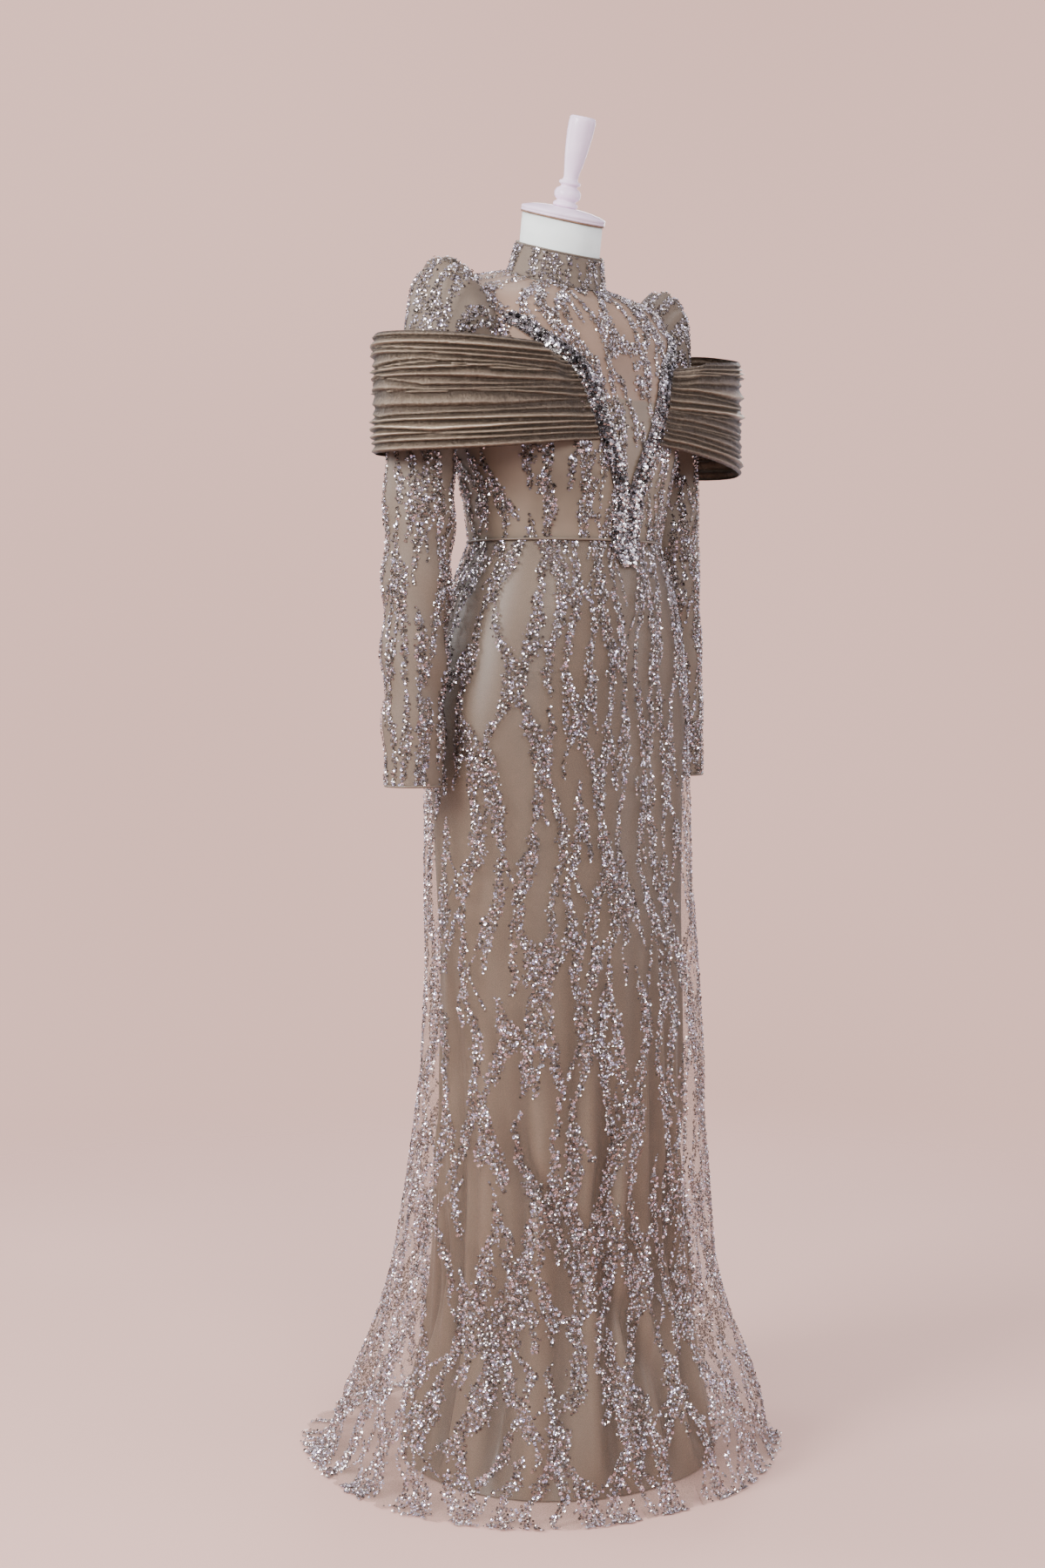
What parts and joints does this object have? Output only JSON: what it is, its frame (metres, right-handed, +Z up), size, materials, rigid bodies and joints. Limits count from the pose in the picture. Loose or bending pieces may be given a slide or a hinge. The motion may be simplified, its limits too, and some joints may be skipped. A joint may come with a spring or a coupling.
{
  "type": "evening gown on a dress form",
  "caption": "Floor-length long-sleeved gown of sequinned tulle over satin, with pleated shoulder bands and a jewelled V trim, on a limbless dress form with a round base.",
  "frame": {"origin": "on the floor, at the middle of the gown's box, which is the middle of the swept hem; the stand's axis is 48 mm ahead of it and 6 mm to the wearer's left", "axes": "+Z up the form, -Y the gown's front, +X the wearer's left"},
  "size_m": [0.5893, 0.6038, 1.6227],
  "materials": {
    "satin_lining": "smooth satin",
    "beaded_tulle": "sheer tulle with sequins",
    "pleated_lame": "crinkled metallic pleats",
    "jewel_trim": "crystal and bead embroidery",
    "satin_binding": "satin binding",
    "form_jersey": "matte off-white jersey",
    "painted_wood": "pale painted satin",
    "pole_steel": "brushed"
  },
  "bodies": {
    "root": {"bodice_front": "beaded_tulle", "bodice_back_left": "beaded_tulle", "bodice_back_right": "beaded_tulle", "sleeve_left": "beaded_tulle", "sleeve_right": "beaded_tulle", "cuff_binding_left": "satin_binding", "cuff_binding_right": "satin_binding", "collar": "beaded_tulle", "collar_binding": "satin_binding", "shoulder_band_left": "pleated_lame", "shoulder_band_right": "pleated_lame", "jewel_trim_left": "jewel_trim", "jewel_trim_right": "jewel_trim", "waist_piping": "satin_binding", "skirt_front": "beaded_tulle", "skirt_back_left": "beaded_tulle", "skirt_back_right": "beaded_tulle", "lining_front": "satin_lining", "lining_back": "satin_lining", "form_torso": "form_jersey", "neck_cap": "painted_wood", "finial": "painted_wood", "stand_pole": "pole_steel", "stand_base": "painted_wood"}
  },
  "joints": []
}
